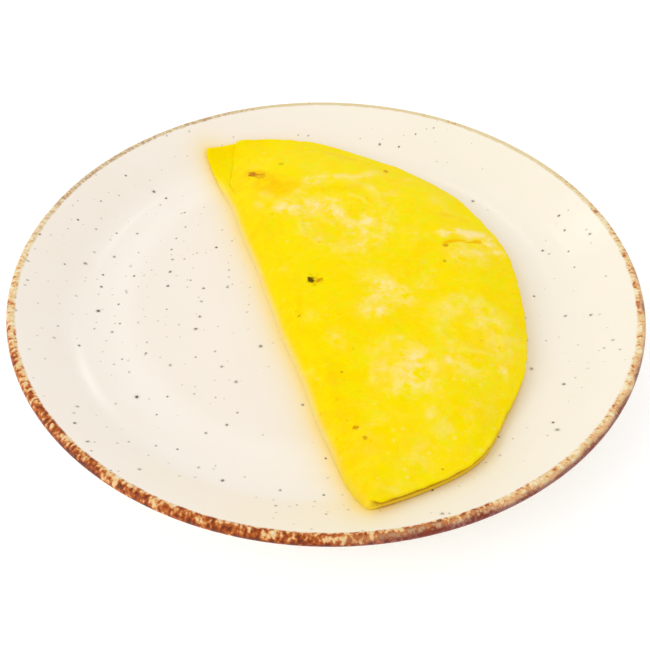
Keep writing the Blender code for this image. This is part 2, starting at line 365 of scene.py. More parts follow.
# The omelette has its own s, along the fold to the far tip, and h, from the fold to the open edge.
egg = {
    "lean": 20.0,  # turn of the fold away from +Y, towards -X
    "foldMiddle": (-25.4, -13.0),
    "halfLength": 114.5,
    "depth": 110.8,  # from the fold to the open edge
    "skew": 0.111,  # how much fuller the far half is
    "edgeWaves": ((3, 1.8, 0.2), (4, 0.5, 2.75), (6, 0.9, -2.8), (8, 0.4, 2.8), (11, 0.45, 1.1),
                  (14, 0.3, 1.3), (18, 0.25, 2.9)),
    "foldWaves": ((1, 1.45), (2, -0.81), (3, 0.39), (8, 0.29), (12, -0.18), (18, 0.10)),
    "tipRound": 2.2,
    "nearTuck": (2.6, 16.0, 14.0),  # how far in the near tip's fold lies; reach along and across
    "middle": 50.0,  # h of the point that the rings shrink to
    "spokes": 560,
    "topRings": 104,
    "underRings": 22,
    "tipFocus": (1.6, 14.0),  # how much closer the spokes are at the tips, and over what distance
    "nose": 8.4,  # height of the rounded fold
    "tipNose": 5.4,
    "tipTaper": (60.0, 112.0),
    "noseReach": 9.0,  # how far in from the fold the top has come up to that height
    "tipReach": 3.0,  # and how far at the tips
    "noseCurve": 1.7,  # how steeply it rises at first
    "noseLow": 0.07,  # height of the fold's widest place, where the egg settles on the plate
    "flap": 2.6,  # thickness of each flap at the open edge
    "upperLumps": ((9.0, 0.16, 21),),  # its unevenness, as a share: cell, height and seed
    "lowerLumps": ((11.0, 0.16, 22),),
    "nearThin": 0.3,  # how much thinner the lower flap is towards the near tip
    "nearThinS": (30.0, 90.0),
    "farThin": 0.45,  # how much thinner the upper flap is beside the far tongue
    "farThinS": (55.0, 85.0),
    "farThinH": (25.0, 40.0),
    "flapRound": 1.5,
    "ragged": ((5.0, 0.45, 23), (2.2, 0.3, 24)),  # unevenness of the upper flap's edge, inwards
    "slit": 0.34,
    "closedFrom": (-70.0, 0.0),  # s over which the slit closes to a line
    "closing": 0.8,  # share of the slit that is closed there, and beside the far tongue
    "farClosing": 0.9,
    "slitDepth": 3.0,
    "farShallower": 0.95,  # share of that depth lost beside the far tongue
    "settled": 0.12,  # share of the lower flap's rounding underneath, where it lies on the plate
    "opening": (2.5, 10.0),  # h over which the fold turns into two flaps
    "nearOpening": (3.0, 7.5),  # the same at the near tip
    "crown": 10.0,  # thickness in the middle
    "crownReach": 30.0,
    "cornerCut": ((76.0, 2.0), (112.0, 15.8)),  # line where the upper flap's far corner ends
    "cutSoftness": 2.0,
    "farTongueStarts": (55.0, 75.0),  # s over which the far tongue comes in, and h over which it ends
    "farTongueEnds": (30.0, 40.0),
    "tongueOpens": (0.4, 13.0),  # lengths of tongue over which the fold turns into two flaps
    "nearTongue": 0.35,
    "nearTongueS": (70.0, 95.0),
    "nearTongueH": (5.0, 16.0),
    # turn, reach and size: a fuller place beside the far tongue, and both tips pulled in
    "bulges": ((0.19, 0.09, 1.3), (0.0, 0.08, -1.2), (3.0, 0.22, -1.9)),
    "leastSlant": 0.55,  # insets grow where spokes meet the outline at a slant, up to 1 over this
    "restGap": 0.03,  # left between the egg and the glaze
    "edgeLightReach": 1.4,  # how far the painted light on the fold's thin, shaded underside reaches inwards
    "edgeLightFarEnd": (88.0, 108.0, 0.8),  # where it fades towards a tip, and the share lost
    "edgeLightNearEnd": (70.0, 98.0, 0.85),
}


def spaced(line, count, focus):
    # A closed line's points again, at equal steps along it, or closer together at the tips
    closed = np.vstack([line, line[:1]])
    steps = np.linalg.norm(np.diff(closed, axis=0), axis=1)
    middle = (closed[1:] + closed[:-1]) / 2
    for tip in (egg["halfLength"], -egg["halfLength"]):
        off = np.hypot(middle[:, 0] - tip, middle[:, 1])
        steps = steps * (1 + focus * np.exp(-((off / egg["tipFocus"][1]) ** 2)))
    run = np.append(0, np.cumsum(steps))
    wanted = np.arange(count) * run[-1] / count
    return np.stack([np.interp(wanted, run, closed[:, k]) for k in (0, 1)], axis=1)


def outline(count):
    # (s, h) round the half-moon: half an ellipse with waves for the open edge, from the far tip to the
    # near one, then the wavy fold back. A Gaussian over the whole line rounds the tips. The order is
    # turned round at the end, to run anticlockwise seen from above, so that the faces point outwards.
    fine = 6000  # points before they are thinned out to count
    t = np.linspace(0, math.pi, fine)
    wave = sum(reach * np.cos(cycles * t + start) for cycles, reach, start in egg["edgeWaves"])
    wave += sum(size * np.exp(-(((t - turn) / reach) ** 2)) for turn, reach, size in egg["bulges"])
    edgeS = (egg["halfLength"] + wave) * np.cos(t)
    edgeH = (egg["depth"] + wave) * np.sin(t) * (1 + egg["skew"] * np.cos(t))
    back = np.linspace(0, 1, fine)[1:-1]
    foldS = edgeS[-1] + (edgeS[0] - edgeS[-1]) * back
    foldH = sum(reach * np.sin(math.pi * cycles * back) for cycles, reach in egg["foldWaves"])
    line = np.stack([np.append(edgeS, foldS), np.append(edgeH, foldH)], axis=1)
    tuck, alongFold, acrossFold = egg["nearTuck"]
    fromTip = (line[:, 0] + egg["halfLength"]) / alongFold
    line[:, 1] += tuck * np.exp(-(fromTip ** 2) - (line[:, 1] / acrossFold) ** 2)
    line = spaced(line, fine, 0)
    perimeter = np.linalg.norm(line - np.roll(line, 1, axis=0), axis=1).sum()
    soften = np.exp(-2 * (math.pi * np.fft.fftfreq(fine, d=perimeter / fine) * egg["tipRound"]) ** 2)
    whole = np.fft.ifft(np.fft.fft(line[:, 0] + 1j * line[:, 1]) * soften)
    return spaced(np.stack([whole.real, whole.imag], axis=1), count, egg["tipFocus"][0])[::-1]


def onPlate(s, h):
    # x and y of a place in the omelette's frame
    lean = math.radians(egg["lean"])
    x = egg["foldMiddle"][0] - s * math.sin(lean) + h * math.cos(lean)
    y = egg["foldMiddle"][1] + s * math.cos(lean) + h * math.sin(lean)
    return x, y


def tongue(line, spoke, reach):
    # How far the lower flap reaches past the upper one along each spoke: at the far tip, where the
    # upper flap ends at a straight line across its corner, and a little at the near end
    (s0, h0), (s1, h1) = egg["cornerCut"]
    cross = spoke[:, 0] * (h1 - h0) - spoke[:, 1] * (s1 - s0)
    toCut = (s0 * (h1 - h0) - (h0 - egg["middle"]) * (s1 - s0)) / np.maximum(cross, (s1 - s0) / 10)
    past = reach - toCut
    s, h = line[:, 0], line[:, 1]
    far = smoothStep(s, *egg["farTongueStarts"]) * (1 - smoothStep(h, *egg["farTongueEnds"]))
    near = smoothStep(-s, *egg["nearTongueS"]) * smoothStep(h, *egg["nearTongueH"])
    return far * (past + np.sqrt(past ** 2 + egg["cutSoftness"] ** 2)) / 2 + egg["nearTongue"] * near


def inwards(s, h, rim, edge):
    # Distance to the rim, ring by ring, and to its fold side alone, and the rim's height as a mean over
    # the whole rim, each place weighed by its length over the cube of its distance
    nearest = np.empty(s.shape)
    fromFold = np.empty(s.shape)
    edgeHere = np.empty(s.shape)
    length = np.linalg.norm(np.roll(rim, -1, axis=0) - np.roll(rim, 1, axis=0), axis=1)
    foldSide = rim[:, 1] < egg["opening"][0] + egg["noseReach"]
    for k in range(len(s)):
        off = np.hypot(s[k][:, None] - rim[:, 0], h[k][:, None] - rim[:, 1])
        fold = off[:, foldSide].min(axis=1)
        flaps = off[:, ~foldSide].min(axis=1)
        nearest[k] = (np.maximum(fold, 1e-3) ** -4 + np.maximum(flaps, 1e-3) ** -4) ** -0.25
        fromFold[k] = fold
        weight = length / (off + 0.4) ** 3
        edgeHere[k] = weight @ edge / weight.sum(axis=1)
    return nearest, fromFold, edgeHere


# Places on the egg's top: rings as s, h and the reach along each, and lines of (s, h).
marks = {
    "farRing": (39.0, 48.0, 27.5, 21.0),
    "farInnerRing": (37.0, 51.0, 15.0, 12.5),
    "nearRing": (-46.0, 72.0, 15.0, 13.5),
    "lowRing": (-57.0, 37.0, 12.5, 12.0),
    "arc": ((66.0, 41.0), (67.5, 50.0), (64.5, 60.0), (62.0, 67.0), (65.5, 76.0)),
    "belowArc": ((59.0, 46.0), (55.0, 62.0)),
    # the tear's pale line is a painted highlight on its lit edge; the orange line under it is painted
    # shadow
    "tear": ((8.8, 86.0), (8.8, 96.0), (5.0, 105.0)),
    "underTearShadow": ((3.0, 84.0), (3.6, 92.6), (0.5, 102.0)),
    "orange": ((76.0, 20.0), (66.0, 28.0)),
    "farOrange": ((90.0, 62.0), (80.0, 69.0)),
    "sideOrange": ((23.0, 93.0), (18.0, 103.0)),
    "brownPatch": ((85.0, 17.5), (82.0, 21.0)),
    # which of them are paler or more orange: name, share and width. The tear's pale line is a painted
    # highlight on its lit edge, and the orange line under it is painted shadow in its crack.
    "paleRings": (("farRing", 0.26, 3.4), ("nearRing", 0.26, 3.6), ("lowRing", 0.26, 2.6)),
    "paleAndLitLines": (("arc", 0.42, 2.6), ("tear", 0.95, 2.4)),
    "orangeLines": (
        ("orange", 0.8, 9.0), ("farOrange", 0.6, 5.0), ("belowArc", 0.55, 4.5),
        # underTearShadow: painted shadow in the crack under the tear
        ("sideOrange", 0.55, 4.5), ("underTearShadow", 1.3, 1.4), ("brownPatch", 1.1, 4.5),
    ),
    "orangeAndShadeFold": (0.46, -32.0, -6.0),  # share at the fold, partly the egg's own colour and partly painted shade where the fold turns down, and -h over which it comes in
    # noise that pushes the marks about along s and h: cell, reach and seed
    "pushS": ((12.0, 3.2, 41), (4.5, 1.4, 42)),
    "pushH": ((12.0, 3.2, 43), (4.5, 1.4, 44)),
    "fray": ((5.5, 2.6, 53), (2.6, 2.0, 54)),  # the same for the blotches' outlines
    "stippled": (-67.0, 64.0, 15.0),  # s, h and reach of the thickest small pale dots
    # soft whiter blotches, partly painted sheen: s, h, reach and share
    "blotches": (
        (64, 18, 3.0, 0.26), (58, 13, 2.4, 0.22), (52, 24, 4.6, 0.85), (47, 31, 4.6, 0.62),
        (48, 38, 5.4, 0.78), (48, 46, 4.6, 0.62), (40, 44, 4.8, 1.0), (60, 36, 3.4, 0.35),
        (30, 50, 3.4, 0.7), (28, 57, 4.2, 0.85), (21.5, 50, 4.0, 0.7), (34, 30, 3.6, 0.28),
        (25, 30, 3.6, 0.3), (16, 40, 4.0, 0.26), (13.5, 48, 3.6, 0.36), (14, 56, 3.4, 0.4),
        (20, 62, 3.2, 0.4), (27, 64, 2.8, 0.42), (76, 48, 6.0, 0.06), (92, 22, 6.0, 0.05),
        (45, 77, 4.0, 0.16), (56, 90, 3.0, 0.2), (33, 95, 5.0, 0.16), (24, 96, 4.0, 0.12),
        (13, 73, 4.0, 0.16), (-5, 89, 6.0, 0.4), (-8, 95, 5.0, 0.36), (-2, 104, 3.4, 0.8),
        (-6, 106, 2.8, 0.7), (3, 106, 2.6, 0.6), (-14, 48, 4.2, 0.9), (-20, 44, 5.4, 0.5),
        (-24, 36, 4.2, 0.38), (-28, 41, 3.4, 0.6), (-22, 53, 4.6, 0.44), (-8, 45, 5.0, 0.16),
        (-19, 64, 3.0, 0.24), (-13, 70, 3.0, 0.16), (-36, 66, 5.4, 0.28), (-32, 74, 3.4, 0.45),
        (-36, 79, 3.8, 0.36), (-34, 18, 3.2, 0.18), (-38, 19, 2.6, 0.2), (-45, 76, 4.0, 0.45),
        (-47, 84, 3.0, 0.3), (-53, 79, 3.8, 0.26), (-60, 78, 6.0, 0.2), (-58, 88, 4.0, 0.14),
        (-44, 34, 3.0, 0.26), (-55, 30, 4.4, 0.38), (-57, 43, 6.4, 0.62), (-62, 38, 6.4, 0.52),
        (-67, 34, 3.6, 0.42), (-68, 42, 4.6, 0.34), (-60, 56, 3.4, 0.42), (-65, 60, 3.6, 0.32),
        (-69, 64, 3.2, 0.22), (-70, 74, 1.8, 0.5), (-78, 18, 2.8, 0.24), (-81, 38, 2.2, 0.3),
        (-81, 55, 2.2, 0.24), (-83, 63, 4.0, 0.16), (-88, 40, 3.4, 0.2), (-86, 50, 3.4, 0.2),
        (-92, 30, 4.4, 0.12), (-97, 27, 3.4, 0.2), (-105, 14, 3.0, 0.14), (-45, 3, 3.0, 0.1),
        (-20, 14, 3.0, 0.12), (10, 12, 3.0, 0.06),
    ),
}


# heights and widths of what stands up or lies low on the egg's top
unevenTop = {
    "lumps": ((34.0, 0.85, 11), (15.0, 0.55, 12), (7.0, 0.3, 13), (3.6, 0.18, 14)),
    "line": (0.26, 1.8),  # height and width of the thin raised lines
    "arcShare": 0.8,  # the arc is this much narrower than is given
    "hollows": (("farRing", 0.35, 7.0), ("nearRing", 0.3, 6.0)),  # depth inside a ring, and its reach
    "ridges": (("arc", 0.3, 1.6), ("tear", 0.7, 2.6), ("underTearShadow", -0.9, 1.2)),
    "crease": (0.12, 2.5, 1.6),  # depth of it beside the fold, how far in, and its width
    "flatEdge": 5.0,  # all this comes in over this distance from the rim
}


def warped(s, h):
    # Places pushed about by two sizes of noise, so that marks given as plain shapes come out irregular
    return s + noiseSum(s, h, marks["pushS"]), h + noiseSum(s, h, marks["pushH"])


def ringOff(s, h, ring):
    # Distance outwards from a ring, near enough: its own measure times its middle reach
    s0, h0, reachS, reachH = marks[ring]
    return (np.hypot((s - s0) / reachS, (h - h0) / reachH) - 1) * (reachS + reachH) / 2


def nearestLine(s, h):
    # Distance to the nearest of the thin raised lines: the collapsed bubbles' rings and the arc
    s, h = warped(s, h)
    lines = [np.abs(ringOff(s, h, ring)) for ring in ("farRing", "farInnerRing", "nearRing", "lowRing")]
    lines.append(distanceTo(s, h, marks["arc"]) * unevenTop["arcShare"])
    return np.minimum.reduce(lines)


def relief(s, h, nearest, fromFold):
    # Unevenness of the top: four sizes of gradient noise, the low rims of collapsed bubbles and the
    # hollows inside them, a raised arc, the step of the tear, and a crease beside the fold
    lumps = noiseSum(s, h, unevenTop["lumps"])
    height, width = unevenTop["line"]
    lumps += height * bell(nearestLine(s, h), width) * np.clip(0.6 + 1.2 * waves(s, h, 9.0, 15), 0, 1)
    warpS, warpH = warped(s, h)
    for ring, depth, reach in unevenTop["hollows"]:
        lumps -= depth * smoothStep(-ringOff(warpS, warpH, ring), -1, reach)
    for mark, height, width in unevenTop["ridges"]:
        lumps += height * bell(distanceTo(s, h, marks[mark]), width)
    depth, inside, width = unevenTop["crease"]
    lumps -= depth * bell(fromFold - inside, width) * smoothStep(-s, -30, 20)
    return lumps * smoothStep(nearest, 0, unevenTop["flatEdge"])


def omeletteSurface():
    # Rings from the top's middle to the underside's. Down the top each ring is the outline shrunk along
    # its spokes; then come the upper flap's round end, the slit, and the lower flap's round end.
    # Where the egg is folded, those rings go round half an ellipse instead, and the two blend.
    line = outline(egg["spokes"])
    spoke = line - (0, egg["middle"])
    reach = np.linalg.norm(spoke, axis=1)
    spoke /= reach[:, None]
    along = np.roll(line, -1, axis=0) - np.roll(line, 1, axis=0)
    along /= np.linalg.norm(along, axis=1)[:, None]
    slant = np.abs(spoke[:, 0] * along[:, 1] - spoke[:, 1] * along[:, 0])
    stretch = 1 / np.clip(slant, egg["leastSlant"], 1)
    s, h = line[:, 0], line[:, 1]
    ledge = tongue(line, spoke, reach)
    farTongue = smoothStep(s, *egg["farThinS"]) * (1 - smoothStep(h, *egg["farThinH"]))
    opened = np.maximum(smoothStep(h, *egg["opening"]), smoothStep(ledge, *egg["tongueOpens"]))
    opened = np.where(s < 0, smoothStep(h, *egg["nearOpening"]), opened)
    towardsTip = smoothStep(np.abs(s), *egg["tipTaper"])
    nose = egg["nose"] + (egg["tipNose"] - egg["nose"]) * towardsTip
    noseReach = egg["noseReach"] + (egg["tipReach"] - egg["noseReach"]) * towardsTip
    upperFlap = egg["flap"] * (1 + noiseSum(s, h, egg["upperLumps"])) * (1 - egg["farThin"] * farTongue)
    lowerFlap = egg["flap"] * (1 + noiseSum(s, h, egg["lowerLumps"]))
    lowerFlap = lowerFlap * (1 - egg["nearThin"] * smoothStep(-s, *egg["nearThinS"]))
    slit = egg["slit"] * (1 - egg["farClosing"] * farTongue)
    slit = slit * (1 - egg["closing"] * smoothStep(s, *egg["closedFrom"]))
    slotDepth = egg["slitDepth"] * (1 - egg["farShallower"] * farTongue)
    ragged = noiseSum(s, h, egg["ragged"])
    edge = nose + (upperFlap + lowerFlap + slit - nose) * opened

    # the open edge's rings: the upper flap's end, the slit's bottom, the way out, the lower flap's end
    bendSteps, slitSteps = 11, 12
    upperSteps = bendSteps + 1
    bend = np.linspace(math.pi / 2, -math.pi / 2, bendSteps)[:, None]
    slitShare = np.linspace(1, 0, slitSteps)[:, None] ** 1.5
    bendInset = np.repeat(egg["flapRound"] * (1 - np.cos(bend)), len(s), axis=1)
    settled = np.where(bend[1:] < 0, egg["settled"], 1.0)
    flapInset = np.concatenate([
        bendInset,
        [0.7 * slotDepth],
        egg["flapRound"] + (slotDepth - egg["flapRound"]) * slitShare,
        bendInset[1:] * settled,
    ])
    ledgeShare = np.concatenate([np.ones((upperSteps, 1)), slitShare, np.zeros((bendSteps - 1, 1))])
    flapHeight = np.concatenate([
        lowerFlap + slit + upperFlap * (0.5 + np.sin(bend) / 2),
        [lowerFlap + slit],
        [lowerFlap + slit / 2],
        np.repeat([lowerFlap], slitSteps - 1, axis=0),
        lowerFlap * (0.5 + np.sin(bend[1:]) / 2),
    ])
    # the fold's end through the same rings: up its rounded nose, and a little of it underneath
    over, below = 1.25, 0.25
    down = np.linspace(over, -below, len(flapInset))[:, None]
    upNose = np.clip(down / over, 0, 1) ** 1.3
    underNose = np.clip(-down / below, 0, 1) * math.pi / 2
    noseInset = noseReach * upNose + egg["noseLow"] * (1 - np.cos(underNose))
    noseRise = 1 - (1 - upNose) ** egg["noseCurve"]
    noseHeight = egg["noseLow"] * (1 - np.sin(underNose)) + (nose - egg["noseLow"]) * noseRise
    endInset = ledge * ledgeShare + stretch * (noseInset + (flapInset - noseInset) * opened)
    endInset = endInset + ragged * opened * ledgeShare
    endHeight = noseHeight + (flapHeight - noseHeight) * opened

    upper = endInset[0]
    rim = line - spoke * upper[:, None]
    u = np.linspace(0, 1, egg["topRings"] + 1)[1:-1, None]
    share = 0.45 * u + 0.55 * np.sin(u * math.pi / 2)  # the rings lie closer together near the rim
    topInset = upper + (reach - upper) * (1 - share)
    topS = s - spoke[:, 0] * topInset
    topH = h - spoke[:, 1] * topInset
    nearest, fromFold, edgeHere = inwards(topS, topH, rim, edge)
    rise = 1 - (1 - np.clip(nearest / egg["crownReach"], 0, 1)) ** 2
    topHeight = edgeHere + (egg["crown"] - edgeHere) * rise + relief(topS, topH, nearest, fromFold)

    v = np.linspace(0, 1, egg["underRings"] + 2)[1:-1, None]
    underInset = endInset[-1] + (reach - endInset[-1]) * v
    inset = np.concatenate([topInset, endInset, underInset])
    height = np.concatenate([topHeight, endHeight, np.zeros(underInset.shape)])
    placeS = s - spoke[:, 0] * inset
    placeH = h - spoke[:, 1] * inset
    x, y = onPlate(placeS, placeH)
    floor = glazeHeight(x, y) + egg["restGap"]
    rings = np.stack([x, y, floor + height], axis=2)
    topCount, endCount = len(topInset), len(endInset)
    # lower is 0 on the upper flap and the fold, 1 on the lower flap and underneath
    lower = np.zeros(inset.shape)
    lower[topCount + upperSteps:topCount + endCount] = opened
    lower[topCount + endCount:] = 1
    foldEdgeLight = np.zeros(inset.shape)
    # painted light: the fold's underside, where it turns into shade, made pale, less so towards the
    # tips
    paler = 1 - opened
    for toTip, (start, full, loss) in ((s, egg["edgeLightFarEnd"]), (-s, egg["edgeLightNearEnd"])):
        paler = paler * (1 - loss * smoothStep(toTip, start, full))
    foldEdgeLight[topCount:topCount + endCount] = paler * bell(noseInset, egg["edgeLightReach"])
    under = np.zeros(inset.shape)
    under[topCount + endCount:] = 1
    return rings, placeS, placeH, lower, foldEdgeLight, under


def palenessAndSheen(s, h):
    # Where the egg is whiter, from 0 to 1, partly its own colour and partly painted sheen: broken rings
    # round the collapsed bubbles, blotches whose outlines are frayed, and strokes
    blotch = np.clip(0.5 + 1.1 * waves(s, h, 8.0, 51), 0, 1)
    warpS, warpH = warped(s, h)
    found = 0.05 * blotch * smoothStep(-s, 55, 80)
    for ring, share, width in marks["paleRings"]:
        found = np.maximum(found, share * blotch * bell(ringOff(warpS, warpH, ring), width))
    for mark, share, width in marks["paleAndLitLines"]:
        found = np.maximum(found, share * bell(distanceTo(warpS, warpH, marks[mark]), width))
    frayed = noiseSum(s, h, marks["fray"])
    spread = np.zeros(np.shape(s))
    for s0, h0, reach, share in marks["blotches"]:
        off = np.hypot((s + warpS) / 2 - s0, (h + warpH) / 2 - h0) + frayed
        spread += (share * bell(np.maximum(off, 0), reach)) ** 2
    return np.maximum(found, np.sqrt(spread))


def veining(s, h):
    # How much of the fine pale wrinkling shows, strongest round the collapsed bubbles
    found = 0.25 + 0.3 * smoothStep(h, 20, 60)
    for ring in ("farRing", "nearRing"):
        found = np.maximum(found, bell(ringOff(s, h, ring), 9.0))
    return found


def stippling(s, h):
    # How thick the small pale dots lie: beside the near bubble, and towards the near end
    s0, h0, reach = marks["stippled"]
    beside = bell(np.hypot(s - s0, h - h0), reach)
    nearEnd = 0.55 * smoothStep(-s, 62, 84) * smoothStep(h, 6, 18)
    return np.maximum(np.maximum(beside, nearEnd), 0.08)


def amberness(s, h):
    # Where the egg is more orange: along the fold, partly painted shade where the fold turns down, and
    # round a few strokes, one of them painted shadow in the tear's crack
    s, h = warped(s, h)
    most, start, full = marks["orangeAndShadeFold"]
    found = most * smoothStep(-h, start, full)
    for mark, share, width in marks["orangeLines"]:
        found = np.maximum(found, share * bell(distanceTo(s, h, marks[mark]), width))
    return found


glaze = {
    "cream": tint(245, 236, 221),
    # painted light: a warm bounce at the right and a cool reflection at the left
    "warmBounceTint": tint(243, 235, 218),
    "coolReflectTint": tint(247, 238, 227),
    # painted shade down in the well
    "well": tint(238, 226, 210),
    # painted yellow glow of light bounced off the egg onto the glaze
    "eggBounceGlow": tint(248, 214, 84),
    "speck": tint(62, 52, 44),
    "speckHalo": tint(176, 160, 140),
    # the rim's colours from its inner edge outwards
    "rim": (
        (0.0, tint(240, 222, 182)),
        (0.14, tint(220, 192, 140)),
        (0.28, tint(236, 200, 144)),
        (0.42, tint(216, 158, 98)),
        (0.56, tint(188, 102, 38)),
        (0.74, tint(158, 70, 14)),
        (0.88, tint(130, 54, 12)),
        (1.0, tint(104, 46, 22)),
    ),
    # the near right's outer colours: the glaze's own, deepened as painted shade under the lip
    "mauveAndShade": tint(140, 90, 86),
    "rustAndShade": tint(120, 46, 30),
    # painted highlight along the top of the lip at the near right
    "crestHighlight": tint(236, 196, 146),
    "ashen": tint(176, 136, 112),
    "rimFar": tint(218, 200, 154),
    "clay": tint(214, 190, 160),
    "bandInside": -1.7,  # across the rim, from the top of the lip
    "bandOutside": 6.0,
    "bandDepth": 4.2,  # the brown deepens outwards over this distance
    # sides of the rim: a direction (x, y) from the middle, and the span over which the side comes in
    "nearLeft": (-0.42, -0.91, 0.3, 0.95),  # where the brown lies thickest
    "nearRight": (0.75, -0.66, 0.62, 0.9),
    "right": (1.0, 0.0, 0.75, 1.0),
    "farLeft": (-0.77, 0.64, 0.75, 0.97),
    "far": (0.0, 1.0, -0.12, 0.66),
    # cell, share kept at the right and at the left, least and most radius, least and most depth
    "specks": ((9.0, 0.09, 0.46, 0.34, 0.72, 0.5, 1.0), (5.6, 0.10, 0.40, 0.24, 0.50, 0.12, 0.5)),
}


def glazeGround(skin, place, x, across):
    # The bare glaze: painted cool reflection at the left, painted warm bounce at the right, clouded
    # with cream, a little darker down in the well as painted shade, and a painted yellow glow of
    # bounced light
    slow = skin.noise(place, 60.0, 1.0)
    # painted light: cooler reflection at the left, warmer bounce at the right
    color = skin.mix((x / 110.0 + slow * 0.6 - 0.3).step(-0.6, 0.6), glaze["coolReflectTint"], glaze["warmBounceTint"])
    color = skin.mix(skin.noise(place, 14.0, 3.0).step(0.35, 0.75) * 0.5, color, glaze["cream"])
    # painted shade: the glaze a little darker down in the well
    color = skin.mix(across.step(-42.0, -54.0) * 0.5, color, glaze["well"])
    # painted light: the yellow glow bounced off the egg, laid on as colour
    return skin.mix(skin.stored("eggBounceGlow"), color, glaze["eggBounceGlow"])


def specked(skin, color, place, x, y):
    # Dots of two sizes under a soft halo: a cell has one where its random number is under the share
    # kept there, which wanders and is greatest at the left
    flatPlace = skin.node("CombineXYZ", {}, {0: x, 1: y})
    wander = skin.noise(place, 34.0, 2.0)
    left = (x / -60.0).step(-0.6, 0.6) * (y / 60.0).step(1.5, 0.3)
    for cell, keepRight, keepLeft, least, most, faintest, darkest in glaze["specks"]:
        inputs = {"Vector": flatPlace, "Scale": 1.0 / cell, "Randomness": 1.0}
        cells = skin.node("TexVoronoi", {"feature": "F1", "voronoi_dimensions": "2D"}, inputs)
        keepPick, sizePick, depthPick = skin.split(Field(skin, cells.socket.node.outputs["Color"]))
        distance = cells * cell + (skin.noise(place, 0.8, 2.0) - 0.5) * 0.7
        size = least + (most - least) * sizePick ** 2.0
        kept = keepRight + (keepLeft - keepRight) * left + (wander - 0.5) * 1.4 - keepPick
        kept = kept.step(-0.01, 0.01) * (faintest + (darkest - faintest) * depthPick)
        spot = (1 - (distance / size).step(0.6, 1.3)) * kept
        halo = (1 - (distance / size).step(0.8, 2.6)) * kept * 0.35
        color = skin.mix(halo, color, glaze["speckHalo"])
        color = skin.mix(spot, color, glaze["speck"])
    return color


def brushedBand(skin, x, y, across):
    # The brown brushed on round the lip: its share, its colour and its brush marks. Noise drawn out
    # across the rim moves the colour along the ramp, which starts deeper outwards and at the near left.
    radius = (x * x + y * y) ** 0.5
    turnX = x / radius
    turnY = y / radius

    def aroundRim(fineness, acrossFineness):
        inputs = {0: turnX * fineness, 1: turnY * fineness, 2: across * acrossFineness}
        return skin.node("CombineXYZ", {}, inputs)

    def towards(side):
        sideX, sideY, start, full = glaze[side]
        return (turnX * sideX + turnY * sideY).step(start, full)

    brushed = skin.noise(aroundRim(30.0, 0.4), 1.0, 3.0, 0.6)
    fleck = skin.noise(aroundRim(95.0, 0.5), 1.0, 1.5, 0.5)
    patch = skin.noise(aroundRim(11.0, 0.1), 1.0, 2.0)
    inside, outside = glaze["bandInside"], glaze["bandOutside"]
    inner = (across + (brushed - 0.5) * 1.2).step(inside - 0.5, inside + 0.5)
    outer = (across + (brushed - 0.5) * 5.0).step(outside + 1.5, outside - 1.5)

    nearRight = towards("nearRight")
    depth = ((across - inside) / glaze["bandDepth"]).least(1.0) * 0.38 - 0.04
    depth = depth + towards("nearLeft") * 0.42 + nearRight * 0.1 + towards("right") * 0.16
    depth = depth + (fleck - 0.5) * 1.7 + (brushed - 0.5) * 1.3 + (patch - 0.5) * 0.8
    color = skin.node("ValToRGB", {"stops": glaze["rim"]}, {"Fac": depth})

    # the near right: mauve and rust outside, deepened as painted shade under the lip, and a painted
    # highlight along the top of the lip
    # painted shade: mauve and rust deepened on the lip's outer side at the near right
    outerHere = nearRight * (across + (patch - 0.5) * 4.0).step(0.2, 1.9) * 0.95
    outerColor = skin.mix((fleck * 0.5 + patch * 0.5).step(0.44, 0.56), glaze["mauveAndShade"], glaze["rustAndShade"])
    color = skin.mix(outerHere, color, outerColor)
    # painted highlight along the lip's top
    offCrestHighlight = across - 0.8 + (patch - 0.5) * 3.0
    nearCrestHighlight = offCrestHighlight.math("ABSOLUTE", offCrestHighlight).step(1.6, 0.2)
    crestHighlightHere = (fleck * 0.6 + brushed * 0.4).step(0.45, 0.6) * nearCrestHighlight
    color = skin.mix(crestHighlightHere * nearRight * 0.7, color, glaze["crestHighlight"])

    # the far side: pale, with brownish flecks at the left
    farShare = towards("far") * (0.85 - (fleck - 0.5).most(0.0) * 1.6)
    color = skin.mix(farShare, color, glaze["rimFar"])
    color = skin.mix(towards("farLeft") * fleck.step(0.4, 0.6) * 0.7, color, glaze["ashen"])
    return inner * outer, color, brushed


def speckledGlaze():
    skin = Skin("speckled_glaze", {"Specular IOR Level": 0.1, "Coat Roughness": 0.2})
    place = skin.places()
    x, y, z = skin.split(place)
    across = skin.stored("across")
    band, bandColor, brushed = brushedBand(skin, x, y, across)
    bare = z.step(0.5, 0.25)  # the foot's unglazed underside
    color = specked(skin, glazeGround(skin, place, x, across), place, x, y)
    color = skin.mix(band, color, bandColor)
    skin.feed("Base Color", skin.mix(bare, color, glaze["clay"]))
    skin.feed("Coat Weight", 0.95 - band * 0.75 - bare)
    skin.feed("Roughness", 0.2 + (skin.noise(place, 9.0, 2.0) - 0.5) * 0.1 + band * 0.1 + bare * 0.6)
    ripple = skin.noise(place, 11.0, 2.0) * 0.5 + skin.noise(place, 2.6, 2.0) * 0.05
    height = ripple + band * brushed * 0.12 + bare * skin.noise(place, 0.35, 2.0) * 0.2
    bump = skin.node("Bump", {}, {"Strength": 0.35, "Distance": 0.0006, "Height": height})
    skin.feed("Normal", bump)
    return skin.material


